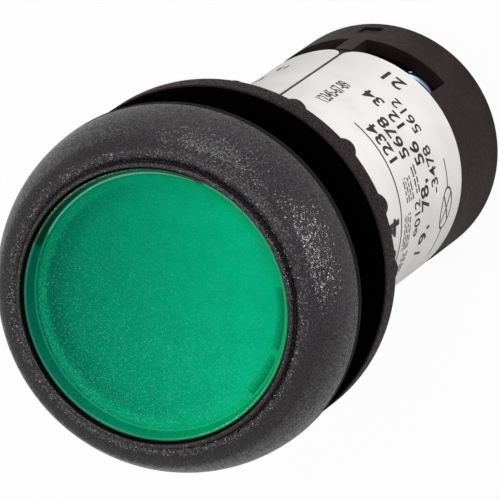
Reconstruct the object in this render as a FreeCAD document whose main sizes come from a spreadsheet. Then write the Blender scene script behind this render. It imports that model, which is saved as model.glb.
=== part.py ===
"""An illuminated flush pushbutton for a 22 mm panel hole, with a locking nut and screw terminals.

Millimetres. The axis is Z, with +Z to the front, where the finger presses. The origin is on the axis,
in the plane of the front ring's rear edge. +X points at the rib between two of the wire windows.
Depths behind that plane are positive sizes and are used with a minus sign.
"""

import FreeCAD, Part
import math
import os
import re

import Sketcher

SIZES = {
    # clearances, and how far a cut runs past the surface it opens
    "running_gap": 0.05,
    "seat_gap": 0.05,
    "thread_gap": 0.04,
    "overcut": 1.0,
    # threaded collar
    "neck_radius": 11.0,
    "neck_length": 15.0,
    "neck_chamfer": 0.4,
    "panel_shoulder": 1.4,
    "thread_depth": 0.49,
    "neck_wall": 1.2,
    "flange_width": 1.0,
    "flange_height": 0.7,
    "shoulder_width": 0.55,
    "shoulder_gap": 0.1,
    "key_width": 2.0,
    "key_height": 0.4,
    "key_length": 4.7,
    "key_slot_gap": 0.4,
    "key_count": 4,
    # plunger seal
    "seal_depth": 0.85,
    "seal_groove_width": 1.0,
    "seal_groove_depth": 1.1,
    "seal_setback": 0.2,
    "seal_gap": 0.02,
    "seal_bevel": 0.2,
    # front ring
    "lip_width": 0.35,
    "lip_height": 1.45,
    "lip_chamfer": 0.1,
    "lip_groove_width": 0.2,
    "lip_groove_depth": 0.35,
    "dome_width": 3.15,
    "dome_drop": 0.4,
    "crown_radius": 2.0,
    "ring_web": 0.5,
    # gasket
    "gasket_width": 1.3,
    "gasket_seat": 1.0,
    "gasket_stand": 0.4,
    # locking nut
    "nut_front": 6.76,
    "nut_flange_thickness": 2.39,
    "nut_flange_width": 1.73,
    "nut_chamfer": 0.18,
    "nut_countersink": 0.3,
    "hub_wall": 2.3,
    "hub_height": 2.55,
    "lug_radius": 1.1,
    "lug_count": 16,
    "lug_phase": -2.5,
    # lens and diffuser
    "travel": 2.7,
    "lens_gap": 0.2,
    "lens_drop_gap": 0.3,
    "lens_overhang": 1.7,
    "lens_wall": 0.9,
    "rim_thickness": 1.7,
    "rim_width": 1.05,
    "rim_round": 0.5,
    "slope_drop": 0.2,
    "ramp_width": 0.5,
    "ramp_drop": 0.25,
    "dish_depth": 0.25,
    "skirt_wall": 0.8,
    "skirt_length": 2.5,
    "diffuser_setback": 0.4,
    "diffuser_thickness": 1.0,
    # plunger and contact carrier
    "plunger_wall": 1.2,
    "stop_height": 1.0,
    "leg_inset": 1.0,
    "leg_thickness": 1.7,
    "leg_width": 3.2,
    "leg_length": 7.8,
    "leg_root_height": 2.0,
    "leg_root_width": 0.4,
    "leg_gap": 0.3,
    "carrier_length": 7.5,
    "carrier_thickness": 3.4,
    "carrier_bar": 0.8,
    "carrier_top_bar": 1.0,
    # contact bridge and contacts
    "bridge_width": 2.1,
    "bridge_thickness": 0.5,
    "bridge_chamfer": 0.4,
    "bridge_gap": 0.25,
    "bridge_play": 0.8,
    "tip_radius": 0.8,
    "tip_height": 0.4,
    "tip_margin": 0.1,
    "contact_gap": 1.7,
    # springs
    "spring_gap": 0.1,
    "return_wire": 0.35,
    "return_turns": 4,
    "contact_mean": 0.72,
    "contact_wire": 0.14,
    "contact_turns": 5,
    # body housing
    "nut_pass_depth": 0.85,
    "body_wall": 1.1,
    "body_sides": 2,
    "body_face": 1.9,
    "spigot_wall": 1.1,
    "spigot_length": 2.6,
    "rear_chamfer": 0.25,
    "rim_height": 0.6,
    "window_lead": 0.25,
    "window_lag": 0.5,
    "window_start": 4,
    "window_end": 47.5,
    "notch_gap": 0.2,
    "notch_width": 1.75,
    # label
    "label_recess": 0.1,
    "label_gap": 0.01,
    "label_setback": 0.45,
    "seam_angle": -1.75,
    "seam_width": 0.32,
    # terminal block
    "block_length": 22.45,
    "block_wall": 1.4,
    "pillar_height": 2.45,
    "floor_gap": 2.3,
    "wall_thin": 1.2,
    "wall_thick": 2.6,
    "arm_gap": 0.2,
    # terminals and their screws
    "plate_thickness": 0.8,
    "plate_gap": 0.15,
    "strip_gap": 0.3,
    "bend_radius": 0.3,
    "lead_stand": 0.3,
    "wire_gap": 2.3,
    "screw_angle": 40,
    "screw_length": 6.5,
    "screw_point": 0.4,
    "well_play": 0.15,
    "well_gap": 0.3,
    "washer_gap": 0.08,
    "washer_width": 1.6,
    "washer_thickness": 0.7,
    "washer_rim": 0.35,
    "washer_chamfer": 0.15,
    "head_height": 2.0,
    "head_chamfer": 0.2,
    "head_gap": 1.1,
    "slot_width": 0.7,
    "slot_depth": 1.0,
    # lamp
    "board_gap": 0.3,
    "board_thickness": 1.0,
    "led_radius": 1.5,
    "led_height": 3.2,
    "led_rim": 0.25,
    "led_rim_height": 1.0,
    "resistor_radius": 0.8,
    "resistor_length": 3.2,
    "resistor_inset": 3.0,
    # rear cover
    "cover_gap": 0.1,
    "cover_thickness": 1.8,
    "cover_chamfer": 0.3,
    "driver_rim": 0.6,
    "arm_thickness": 1.05,
    "hook_lead": 0.5,
    "hook_setback": 1.0,
    "hook_length": 1.6,
    "hook_ramp": 0.5,
    "hook_inset": 0.2,
    "hook_width": 1.5,
}

FOLLOWING = {
    # radii, from the neck inwards and outwards
    "counterbore_radius": "neck_radius - neck_wall",
    "bore_radius": "counterbore_radius - shoulder_width",
    "plunger_radius": "bore_radius - running_gap",
    "plunger_inside": "plunger_radius - plunger_wall",
    "stop_radius": "counterbore_radius - running_gap",
    "key_radius": "plunger_radius + key_height",
    "flange_radius": "neck_radius + flange_width",
    "thread_radius": "neck_radius - thread_depth",
    "nut_bore": "thread_radius + thread_gap",
    "hub_radius": "nut_bore + hub_wall",
    "nut_radius": "hub_radius + nut_flange_width",
    "lens_radius": "bore_radius + lens_overhang",
    "slope_radius": "lens_radius - rim_width",
    "dish_radius": "slope_radius - ramp_width",
    "skirt_radius": "plunger_inside - seat_gap",
    "skirt_inside": "skirt_radius - skirt_wall",
    "lip_radius": "lens_radius + lens_gap",
    "lip_outside": "lip_radius + lip_width",
    "dome_inside": "lip_outside + lip_groove_width",
    "ring_radius": "dome_inside + dome_width",
    "flange_seat": "flange_radius + seat_gap",
    "gasket_room": "flange_seat + ring_web",
    "gasket_inside": "gasket_room + seat_gap",
    "gasket_outside": "gasket_inside + gasket_width",
    "seal_inside": "bore_radius + seal_setback",
    "seal_groove_radius": "bore_radius + seal_groove_depth",
    "body_radius": "neck_radius - nut_pass_depth",
    "body_inside": "body_radius - body_wall",
    "spigot_inside": "stop_radius - spigot_wall",
    "core_radius": "body_inside - seat_gap",
    "cavity_radius": "core_radius - block_wall",
    "return_mean": "spigot_inside - spring_gap - return_wire",
    "label_inside": "body_radius - label_recess + label_gap",
    # distances across the axis
    "leg_outside": "plunger_inside - leg_inset",
    "leg_inside": "leg_outside - leg_thickness",
    "contact_x": "leg_outside - carrier_thickness / 2",
    "bridge_side": "sqrt((cavity_radius - bridge_gap)^2 - (contact_x + bridge_width / 2)^2)",
    "bridge_half": "bridge_side + bridge_chamfer",
    "contact_y": "bridge_half - tip_radius - tip_margin",
    "cavity_half": "bridge_half + bridge_play",
    "strip_near": "leg_width / 2 + leg_gap",
    "strip_far": "contact_y + tip_radius + tip_margin",
    "strip_inside": "wall_thick / 2 + strip_gap",
    "strip_outside": "strip_inside + plate_thickness",
    "tab_end": "contact_x + tip_radius + tip_margin",
    "plate_start": "strip_outside + bend_radius",
    "outer_bend": "plate_thickness + bend_radius",
    "plate_outside": "core_radius - seat_gap",
    "plate_near": "wall_thin / 2 + plate_gap",
    "plate_far": "screw_y + washer_radius + plate_gap",
    "screw_orbit": "(body_inside + wall_thin / 2) / (1 + sin(screw_angle))",
    "screw_x": "screw_orbit * cos(screw_angle)",
    "screw_y": "screw_orbit * sin(screw_angle)",
    "washer_radius": "body_inside - screw_orbit - washer_gap",
    "screw_radius": "washer_radius - washer_width",
    "washer_bore": "screw_radius + running_gap",
    "head_radius": "washer_radius - washer_rim",
    "driver_hole": "washer_radius - driver_rim",
    "pillar_radius": "leg_inside - board_gap",
    "board_radius": "return_mean - return_wire - board_gap",
    "resistor_x": "-(board_radius - resistor_inset)",
    "arm_inside": "plate_outside - arm_thickness",
    "wall_reach": "arm_inside - arm_gap",
    "hook_reach": "body_radius - hook_inset",
    # heights in front of the reference plane
    "lens_under": "flange_height + travel + lens_drop_gap",
    "rim_height_front": "lens_under + rim_thickness",
    "slope_height": "rim_height_front - slope_drop",
    "dish_height": "slope_height - ramp_drop",
    "lens_inside": "dish_height - dish_depth - lens_wall",
    "skirt_end": "lens_under - skirt_length",
    "diffuser_rear": "skirt_end + diffuser_setback",
    "lip_top": "rim_height_front + lip_height",
    "ring_top": "lip_top - dome_drop",
    "groove_floor": "ring_top - lip_groove_depth",
    # depths behind it
    "nut_flange_rear": "nut_front + nut_flange_thickness",
    "nut_rear": "nut_flange_rear + hub_height",
    "body_front": "neck_length + seat_gap",
    "spigot_front": "body_front - spigot_length",
    "stop_rear": "spigot_front - running_gap - travel",
    "stop_front": "stop_rear - stop_height",
    "shoulder_depth": "stop_front - shoulder_gap",
    "key_front": "stop_front - key_length",
    "leg_root": "stop_rear - leg_root_height",
    "leg_end": "stop_rear + leg_length",
    "carrier_end": "leg_end + carrier_length",
    "bridge_rear": "carrier_end - carrier_bar - running_gap",
    "bridge_front": "bridge_rear - bridge_thickness",
    "moving_tip_rear": "bridge_rear + tip_height",
    "fixed_tip_front": "moving_tip_rear + contact_gap + running_gap",
    "tab_front": "fixed_tip_front + tip_height",
    "cavity_floor": "carrier_end + travel + floor_gap",
    "block_front": "body_front + body_face + seat_gap",
    "block_rear": "block_front + block_length",
    "pillar_front": "block_front - pillar_height",
    "board_rear": "pillar_front - seat_gap",
    "board_front": "board_rear - board_thickness",
    "label_front": "body_front + label_setback",
    "label_rear": "block_rear - window_lead",
    "plate_front": "block_rear + seat_gap",
    "plate_rear": "plate_front + plate_thickness",
    "washer_front": "plate_rear + wire_gap",
    "window_rear": "washer_front + window_lag",
    "head_front": "washer_front + washer_thickness",
    "head_rear": "head_front + head_height",
    "screw_tip": "head_front - screw_length",
    "well_end": "screw_tip - wire_gap - well_gap",
    "wall_rear": "head_rear + head_gap",
    "cover_front": "wall_rear + cover_gap",
    "cover_rear": "cover_front + cover_thickness",
    "body_end": "cover_rear + rim_height",
    "hook_front": "cover_front - hook_setback",
    "hook_rear": "hook_front + hook_length",
    "arm_front": "hook_front - hook_lead",
    "notch_front": "hook_front - notch_gap",
    "notch_rear": "hook_rear + notch_gap",
}

QUARTERS = (("", ""), ("", "-"), ("-", ""), ("-", "-"))

document = FreeCAD.newDocument("pushbutton")
sheet = document.addObject("Spreadsheet::Sheet", "sizes")
for row, (alias, value) in enumerate(SIZES.items(), 1):
    sheet.set(f"A{row}", alias)
    sheet.set(f"B{row}", str(value))
    sheet.setAlias(f"B{row}", alias)
document.recompute()

nodes = []


def formula(text):
    """The text with each following size written out and each driving size led to its cell."""

    def lead(word):
        name = word[0]
        return f"({formula(FOLLOWING[name])})" if name in FOLLOWING else f"sizes.{name}"

    return re.sub(r"[a-z][a-z_]+(?!\w*\()", lead, str(text))


def measure(text):
    """The number that a formula gives with the sheet as it is."""
    return float(sheet.evalExpression(formula(text)))


def node(piece, label):
    """Names a finished piece and adds it to the list of nodes."""
    piece.Label = label
    nodes.append(piece)
    return piece


# Primitives


def place(solid, x="0", y="0", z="0"):
    for axis, text in (("x", x), ("y", y), ("z", z)):
        solid.setExpression(f"Placement.Base.{axis}", formula(text))
    return solid


def cylinder(name, radius, front, rear, x="0", y="0"):
    """A cylinder along the axis, between two depths."""
    solid = document.addObject("Part::Cylinder", name)
    solid.setExpression("Radius", formula(radius))
    solid.setExpression("Height", formula(f"({rear}) - ({front})"))
    return place(solid, x, y, f"-({rear})")


def cut(name, base, tools):
    solid = document.addObject("Part::Cut", name)
    solid.Base = base
    if len(tools) == 1:
        solid.Tool = tools[0]
    else:
        solid.Tool = document.addObject("Part::MultiFuse", f"{name}_tools")
        solid.Tool.Shapes = tools
    return solid


# Outlines, as corners that start an edge: (x, y), or (x, y, radius) where that edge is an arc.
# The arc's centre is to the left of the way round, or to the right where the radius is negative.


def rectangle(x_range, y_range):
    """The corners between two values in x and two in y."""
    (x_low, x_high), (y_low, y_high) = x_range, y_range
    return [(x_low, y_low), (x_high, y_low), (x_high, y_high), (x_low, y_high)]


def bevelled(x_range, y_range, bevel):
    """A rectangle with each corner cut off."""
    (x_low, x_high), (y_low, y_high) = x_range, y_range
    return [
        (f"{x_low} + {bevel}", y_low),
        (f"{x_high} - {bevel}", y_low),
        (x_high, f"{y_low} + {bevel}"),
        (x_high, f"{y_high} - {bevel}"),
        (f"{x_high} - {bevel}", y_high),
        (f"{x_low} + {bevel}", y_high),
        (x_low, f"{y_high} - {bevel}"),
        (x_low, f"{y_low} + {bevel}"),
    ]


def mirrored(corners, x_side, y_side=""):
    """The same outline on another side of one axis or both, with its arcs kept."""
    flip = "-" if bool(x_side) != bool(y_side) else ""
    return [
        (f"{x_side}({corner[0]})", f"{y_side}({corner[1]})", *(f"{flip}({radius})" for radius in corner[2:]))
        for corner in corners
    ]


# Sketches and bodies


def new_body(label):
    body = document.addObject("PartDesign::Body", label)
    return node(body, label)


def new_sketch(body, role, offset="0"):
    """A sketch on one of the body's own origin planes, moved along the plane's normal."""
    sketch = body.newObject("Sketcher::SketchObject", f"{body.Name}_sketch")
    plane = next(item for item in body.Origin.OriginFeatures if item.Role == role)
    sketch.AttachmentSupport = [(plane, "")]
    sketch.MapMode = "FlatFace"
    sketch.setExpression("AttachmentOffset.Base.z", formula(offset))
    return sketch


def pin_point(sketch, edge, end, x, y):
    """Ties one end of an edge to its two formulas."""
    for kind, text in (("DistanceX", x), ("DistanceY", y)):
        index = sketch.addConstraint(Sketcher.Constraint(kind, -1, 1, edge, end, measure(text)))
        sketch.setExpression(f"Constraints[{index}]", formula(text))


def pin_radius(sketch, edge, radius):
    index = sketch.addConstraint(Sketcher.Constraint("Radius", edge, measure(radius)))
    sketch.setExpression(f"Constraints[{index}]", formula(radius))


def add_arc(sketch, start, end, radius):
    """An arc of less than half a turn. Gives the edge and which of its ends come first and last."""
    size = measure(radius)
    half = (end - start) * 0.5
    left = FreeCAD.Vector(-half.y, half.x, 0).normalize()
    lift = math.copysign(math.sqrt(size**2 - half.Length**2), size)
    centre = start + half + left * lift
    turns = [math.atan2(point.y - centre.y, point.x - centre.x) for point in (start, end)]
    ends = (1, 2) if size > 0 else (2, 1)
    low, high = turns if size > 0 else turns[::-1]
    circle_line = Part.Circle(centre, FreeCAD.Vector(0, 0, 1), abs(size))
    edge = sketch.addGeometry(Part.ArcOfCircle(circle_line, low, high), False)
    pin_radius(sketch, edge, f"abs({radius})")
    return edge, *ends


def outline(sketch, corners, closed=True):
    """Draws the edges between corners, closed or left open at the last corner."""
    points = [FreeCAD.Vector(measure(corner[0]), measure(corner[1]), 0) for corner in corners]
    edges = []
    for i in range(len(corners) if closed else len(corners) - 1):
        start, end = points[i], points[(i + 1) % len(points)]
        if len(corners[i]) == 3:
            edge = add_arc(sketch, start, end, corners[i][2])
        else:
            edge = sketch.addGeometry(Part.LineSegment(start, end), False), 1, 2
        pin_point(sketch, edge[0], edge[1], corners[i][0], corners[i][1])
        edges.append(edge)
    joins = zip(edges, edges[1:] + edges[:1]) if closed else zip(edges, edges[1:])
    for before, after in joins:
        sketch.addConstraint(Sketcher.Constraint("Coincident", before[0], before[2], after[0], after[1]))
    if not closed:
        pin_point(sketch, edges[-1][0], edges[-1][2], corners[-1][0], corners[-1][1])
    return edges


def circle(sketch, radius, x="0", y="0"):
    centre = FreeCAD.Vector(measure(x), measure(y), 0)
    edge = sketch.addGeometry(Part.Circle(centre, FreeCAD.Vector(0, 0, 1), measure(radius)), False)
    pin_point(sketch, edge, 3, x, y)
    pin_radius(sketch, edge, radius)


def turn(body, sketch):
    """Turns the sketch once round the axis."""
    feature = body.newObject("PartDesign::Revolution", f"{body.Name}_turned")
    feature.Profile = sketch
    feature.ReferenceAxis = (sketch, ["V_Axis"])
    feature.Angle = 360


def pad(body, sketch, length, both_ways=False):
    """Builds forwards from a sketch, or half to each side of it."""
    feature = body.newObject("PartDesign::Pad", f"{body.Name}_pad")
    feature.Profile = sketch
    feature.setExpression("Length", formula(length))
    feature.Midplane = both_ways
    return feature


def pocket(body, sketch, length, forward=False):
    """Cuts rearwards from a sketch, or towards the front."""
    feature = body.newObject("PartDesign::Pocket", f"{body.Name}_pocket")
    feature.Profile = sketch
    feature.setExpression("Length", formula(length))
    feature.Reversed = forward
    return feature


def ring_of(body, feature, count):
    """Repeats a feature evenly round the axis."""
    pattern = body.newObject("PartDesign::PolarPattern", f"{body.Name}_pattern")
    pattern.Originals = [feature]
    axis = next(item for item in body.Origin.OriginFeatures if item.Role == "Z_Axis")
    pattern.Axis = (axis, [""])
    pattern.Angle = 360
    pattern.setExpression("Occurrences", formula(count))
    body.Tip = pattern


def turned(label, corners):
    """A body turned from a closed outline of (radius, height) corners."""
    body = new_body(label)
    sketch = new_sketch(body, "XZ_Plane")
    outline(sketch, corners)
    turn(body, sketch)
    return body


# Front


def make_front_ring():
    body = new_body("front_ring")
    sketch = new_sketch(body, "XZ_Plane")
    corners = [
        ("dome_inside", "ring_top"),
        ("dome_inside", "groove_floor"),
        ("lip_outside", "groove_floor"),
        ("lip_outside", "lip_top - lip_chamfer"),
        ("lip_outside - lip_chamfer", "lip_top"),
        ("lip_radius + lip_chamfer", "lip_top"),
        ("lip_radius", "lip_top - lip_chamfer"),
        ("lip_radius", "flange_height + seat_gap"),
        ("flange_seat", "flange_height + seat_gap"),
        ("flange_seat", "0"),
        ("gasket_room", "0"),
        ("gasket_room", "gasket_seat"),
        ("gasket_outside + seat_gap", "gasket_seat"),
        ("gasket_outside + seat_gap", "0"),
        ("ring_radius", "0"),
    ]
    edges = outline(sketch, corners, closed=False)
    add_dome(sketch, edges[0][0], edges[-1][0])
    turn(body, sketch)


def add_dome(sketch, top_edge, rim_edge):
    """The ring's outer curve: a wide arc up from the rim, tangent to a tight crown arc."""
    crown, height, rim, across = map(measure, ("crown_radius", "ring_top", "ring_radius", "dome_width"))
    side = (across**2 + (height - crown) ** 2 - crown**2) / (2 * (across - crown))
    side_centre = FreeCAD.Vector(rim - side, 0, 0)
    crown_centre = FreeCAD.Vector(rim - across, height - crown, 0)
    lean = math.atan2(crown_centre.y - side_centre.y, crown_centre.x - side_centre.x)
    up = FreeCAD.Vector(0, 0, 1)
    side_arc = sketch.addGeometry(Part.ArcOfCircle(Part.Circle(side_centre, up, side), 0, lean), False)
    crown_circle = Part.Circle(crown_centre, up, crown)
    crown_arc = sketch.addGeometry(Part.ArcOfCircle(crown_circle, lean, math.pi / 2), False)
    join = Sketcher.Constraint
    sketch.addConstraint(join("Coincident", side_arc, 1, rim_edge, 2))
    sketch.addConstraint(join("PointOnObject", side_arc, 3, -1))
    sketch.addConstraint(join("Tangent", side_arc, 2, crown_arc, 1))
    sketch.addConstraint(join("Coincident", crown_arc, 2, top_edge, 1))
    sketch.addConstraint(join("Vertical", crown_arc, 3, crown_arc, 2))
    pin_radius(sketch, crown_arc, "crown_radius")


def make_panel_gasket():
    across = ("gasket_inside", "gasket_outside")
    turned("panel_gasket", rectangle(across, ("-gasket_stand", "gasket_seat")))


def make_threaded_collar():
    """A plain shoulder centres the panel hole. The thread behind it is a cylinder of its mean radius."""
    groove_front = "-seal_depth + seal_groove_width / 2"
    groove_rear = "-seal_depth - seal_groove_width / 2"
    body = turned(
        "threaded_collar",
        [
            ("bore_radius", "flange_height"),
            ("flange_radius", "flange_height"),
            ("flange_radius", "0"),
            ("neck_radius", "0"),
            ("neck_radius", "-panel_shoulder"),
            ("thread_radius", "-panel_shoulder"),
            ("thread_radius", "-neck_length + neck_chamfer"),
            ("thread_radius - neck_chamfer", "-neck_length"),
            ("counterbore_radius", "-neck_length"),
            ("counterbore_radius", "-shoulder_depth"),
            ("bore_radius", "-shoulder_depth"),
            ("bore_radius", groove_rear),
            ("seal_groove_radius", groove_rear),
            ("seal_groove_radius", groove_front),
            ("bore_radius", groove_front),
        ],
    )
    sketch = new_sketch(body, "XY_Plane", "-shoulder_depth")
    across = ("bore_radius - shoulder_width", "key_radius + running_gap")
    along = ("-key_width / 2 - running_gap", "key_width / 2 + running_gap")
    outline(sketch, rectangle(across, along))
    slot = pocket(body, sketch, "shoulder_depth - key_front + key_slot_gap", forward=True)
    ring_of(body, slot, "key_count")


def make_plunger_seal():
    """A square rubber ring with bevelled corners, in the collar's groove."""
    across = ("seal_inside", "seal_groove_radius - seal_gap")
    along = (
        "-seal_depth - seal_groove_width / 2 + seat_gap",
        "-seal_depth + seal_groove_width / 2 - seat_gap",
    )
    turned("plunger_seal", bevelled(across, along, "seal_bevel"))


def make_locking_nut():
    body = turned(
        "locking_nut",
        [
            ("nut_bore", "-nut_front - nut_countersink"),
            ("nut_bore + nut_countersink", "-nut_front"),
            ("nut_radius - nut_chamfer", "-nut_front"),
            ("nut_radius", "-nut_front - nut_chamfer"),
            ("nut_radius", "-nut_flange_rear + nut_chamfer"),
            ("nut_radius - nut_chamfer", "-nut_flange_rear"),
            ("hub_radius", "-nut_flange_rear"),
            ("hub_radius", "-nut_rear"),
            ("nut_bore + nut_countersink", "-nut_rear"),
            ("nut_bore", "-nut_rear + nut_countersink"),
        ],
    )
    sketch = new_sketch(body, "XY_Plane", "-nut_rear")
    circle(sketch, "lug_radius", "hub_radius * cos(lug_phase)", "hub_radius * sin(lug_phase)")
    lug = pad(body, sketch, "nut_rear - nut_flange_rear")
    ring_of(body, lug, "lug_count")


# Button


def make_button_lens():
    """A shallow cup with a rounded rim, a slope and a dished face, over a skirt."""
    turned(
        "button_lens",
        [
            ("0", "lens_inside"),
            ("skirt_inside", "lens_inside"),
            ("skirt_inside", "skirt_end"),
            ("skirt_radius", "skirt_end"),
            ("skirt_radius", "lens_under"),
            ("lens_radius", "lens_under"),
            ("lens_radius", "rim_height_front - rim_round", "rim_round"),
            ("lens_radius - rim_round", "rim_height_front"),
            ("slope_radius", "slope_height"),
            ("dish_radius", "dish_height", "-(dish_radius^2 + dish_depth^2) / (2 * dish_depth)"),
            ("0", "dish_height - dish_depth"),
        ],
    )


def make_diffuser():
    front = "-diffuser_rear - diffuser_thickness"
    node(cylinder("diffuser_disc", "skirt_inside - seat_gap", front, "-diffuser_rear"), "diffuser")


def make_plunger():
    """A sleeve with four keys and a stop flange, and the leg that reaches into the body."""
    body = turned(
        "plunger",
        [
            ("plunger_inside", "lens_under - seat_gap"),
            ("plunger_inside", "-stop_rear"),
            ("stop_radius", "-stop_rear"),
            ("stop_radius", "-stop_front"),
            ("plunger_radius", "-stop_front"),
            ("plunger_radius", "lens_under - seat_gap"),
        ],
    )
    sketch = new_sketch(body, "XY_Plane", "-stop_front")
    across = ("plunger_radius - plunger_wall / 2", "key_radius")
    outline(sketch, rectangle(across, ("-key_width / 2", "key_width / 2")))
    key = pad(body, sketch, "key_length")
    ring_of(body, key, "key_count")
    leg = new_sketch(body, "XZ_Plane")
    root_outside = "plunger_inside + leg_root_width"
    outline(
        leg,
        [
            ("leg_inside", "-leg_end"),
            ("leg_outside", "-leg_end"),
            ("leg_outside", "-stop_rear"),
            (root_outside, "-stop_rear"),
            (root_outside, "-leg_root"),
            ("leg_outside", "-leg_root"),
            ("leg_inside", "-stop_rear"),
        ],
    )
    pad(body, leg, "leg_width", both_ways=True)


def make_contact_carrier():
    """A frame at the end of the leg, open across for the bridge and its spring."""
    body = new_body("contact_carrier")
    sketch = new_sketch(body, "XZ_Plane")
    frame = ("leg_outside - carrier_thickness", "leg_outside")
    outline(sketch, rectangle(frame, ("-carrier_end", "-leg_end")))
    half = "bridge_width / 2 + running_gap"
    opening = (f"contact_x - ({half})", f"contact_x + {half}")
    outline(sketch, rectangle(opening, ("-carrier_end + carrier_bar", "-leg_end - carrier_top_bar")))
    pad(body, sketch, "leg_width", both_ways=True)


def make_contact_bridge():
    body = new_body("contact_bridge")
    sketch = new_sketch(body, "XY_Plane", "-bridge_rear")
    across = ("contact_x - bridge_width / 2", "contact_x + bridge_width / 2")
    outline(sketch, bevelled(across, ("-bridge_half", "bridge_half"), "bridge_chamfer"))
    pad(body, sketch, "bridge_thickness")


def make_contact_tips():
    for letter, side in (("a", ""), ("b", "-")):
        where = ("contact_x", f"{side}contact_y")
        moving = cylinder(f"tip_{letter}", "tip_radius", "bridge_rear", "moving_tip_rear", *where)
        node(moving, f"moving_contact_{letter}")
        fixed = cylinder(f"rivet_{letter}", "tip_radius", "fixed_tip_front", "tab_front", *where)
        node(fixed, f"fixed_contact_{letter}")


def make_spring(label, mean, wire, turns, front, rear, x="0"):
    """A coil of wire that ends just short of its two seats."""
    length = f"{rear} - ({front}) - 2 * {wire} - 2 * seat_gap"
    base = f"-{rear} + {wire} + seat_gap"
    path = document.addObject("Part::Helix", f"{label}_path")
    path.setExpression("Radius", formula(mean))
    path.setExpression("Height", formula(length))
    path.setExpression("Pitch", formula(f"({length}) / {turns}"))
    place(path, x, "0", base)
    section = document.addObject("Part::RegularPolygon", f"{label}_section")
    section.setExpression("Circumradius", formula(wire))
    section.Placement.Rotation = FreeCAD.Rotation(FreeCAD.Vector(1, 0, 0), 90)
    place(section, f"{x} + {mean}", "0", base)
    coil = document.addObject("Part::Sweep", f"{label}_coil")
    coil.Sections = [section]
    coil.Spine = (path, ["Edge1"])
    coil.Solid = True
    coil.Frenet = True
    node(coil, label)


def make_springs():
    """One spring between the stop flange and the block, and one between the carrier and the bridge."""
    coil = ("return_mean", "return_wire", "return_turns")
    make_spring("return_spring", *coil, "stop_rear", "block_front")
    coil = ("contact_mean", "contact_wire", "contact_turns")
    make_spring("contact_spring", *coil, "leg_end + carrier_top_bar", "bridge_front", "contact_x")


# Housing


def make_body_housing():
    """A tube with a spigot in the collar, four wire windows and two snap notches."""
    recess = "body_radius - label_recess"
    body = turned(
        "body_housing",
        [
            ("spigot_inside", "-spigot_front"),
            ("stop_radius", "-spigot_front"),
            ("stop_radius", "-body_front"),
            ("body_radius", "-body_front"),
            ("body_radius", "-label_front"),
            (recess, "-label_front"),
            (recess, "-label_rear"),
            ("body_radius", "-label_rear"),
            ("body_radius", "-body_end + rear_chamfer"),
            ("body_radius - rear_chamfer", "-body_end"),
            ("body_inside", "-body_end"),
            ("body_inside", "-block_front + seat_gap"),
            ("spigot_inside", "-block_front + seat_gap"),
        ],
    )
    windows = new_sketch(body, "XY_Plane", "-label_rear")
    near = "core_radius"
    far = "(body_radius + overcut)"
    window = [
        (f"{near} * cos(window_start)", f"{near} * sin(window_start)"),
        (f"{far} * cos(window_start)", f"{far} * sin(window_start)", far),
        (f"{far} * cos(window_end)", f"{far} * sin(window_end)"),
        (f"{near} * cos(window_end)", f"{near} * sin(window_end)"),
    ]
    for side in ("", "-"):
        outline(windows, mirrored(window, "", side))
    opening = pocket(body, windows, "window_rear - label_rear")
    ring_of(body, opening, "body_sides")
    notch = new_sketch(body, "XY_Plane", "-notch_front")
    across = ("body_inside - body_wall / 2", "body_radius + body_wall / 2")
    outline(notch, rectangle(across, ("-notch_width / 2", "notch_width / 2")))
    gap = pocket(body, notch, "notch_rear - notch_front")
    ring_of(body, gap, "body_sides")


def make_label_sleeve():
    front = "label_front + seat_gap"
    rear = "label_rear - seat_gap"
    outer = cylinder("label_outside", "body_radius", front, rear)
    inner = cylinder("label_bore", "label_inside", f"{front} - overcut", f"{rear} + overcut")
    seam = document.addObject("Part::Box", "label_seam")
    seam.setExpression("Length", formula("body_radius + overcut"))
    seam.setExpression("Width", formula("seam_width"))
    seam.setExpression("Height", formula(f"{rear} - ({front}) + 2 * overcut"))
    seam.setExpression("Placement.Rotation.Angle", formula("seam_angle"))
    place(seam, "0", "-seam_width / 2", f"-({rear}) - overcut")
    node(cut("label", outer, [inner, seam]), "label_sleeve")


def make_terminal_block():
    """A core with the lamp's pillar, a contact room, strip slots and screw wells, and crossed walls."""
    body = turned(
        "terminal_block",
        [
            ("0", "-pillar_front"),
            ("0", "-block_rear"),
            ("core_radius", "-block_rear"),
            ("core_radius", "-block_front"),
            ("pillar_radius", "-block_front"),
            ("pillar_radius", "-pillar_front"),
        ],
    )
    for reach_x, reach_y in (("wall_reach", "wall_thin / 2"), ("wall_thick / 2", "wall_reach")):
        wall = new_sketch(body, "XY_Plane", "-wall_rear")
        outline(wall, rectangle((f"-{reach_x}", reach_x), (f"-{reach_y}", reach_y)))
        pad(body, wall, "wall_rear - block_rear")
    room = new_sketch(body, "XY_Plane", "-pillar_front")
    end = "sqrt(cavity_radius^2 - cavity_half^2)"
    inside = "strip_inside - running_gap"
    round_end = [(end, "-cavity_half", "cavity_radius"), (end, "cavity_half")]
    outline(room, [(inside, "-cavity_half"), *round_end, (inside, "cavity_half")])
    pocket(body, room, "cavity_floor - pillar_front")
    slots = new_sketch(body, "XY_Plane", "-pillar_front")
    wells = new_sketch(body, "XY_Plane", "-block_rear")
    along = ("strip_near - running_gap", "strip_far + running_gap")
    slot = rectangle((inside, "plate_start"), along)
    for x_side, y_side in QUARTERS:
        outline(slots, mirrored(slot, x_side, y_side))
        circle(wells, "screw_radius + well_play", f"{x_side}screw_x", f"{y_side}screw_y")
    pocket(body, slots, "block_rear - pillar_front")
    pocket(body, wells, "block_rear - well_end", forward=True)


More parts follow.
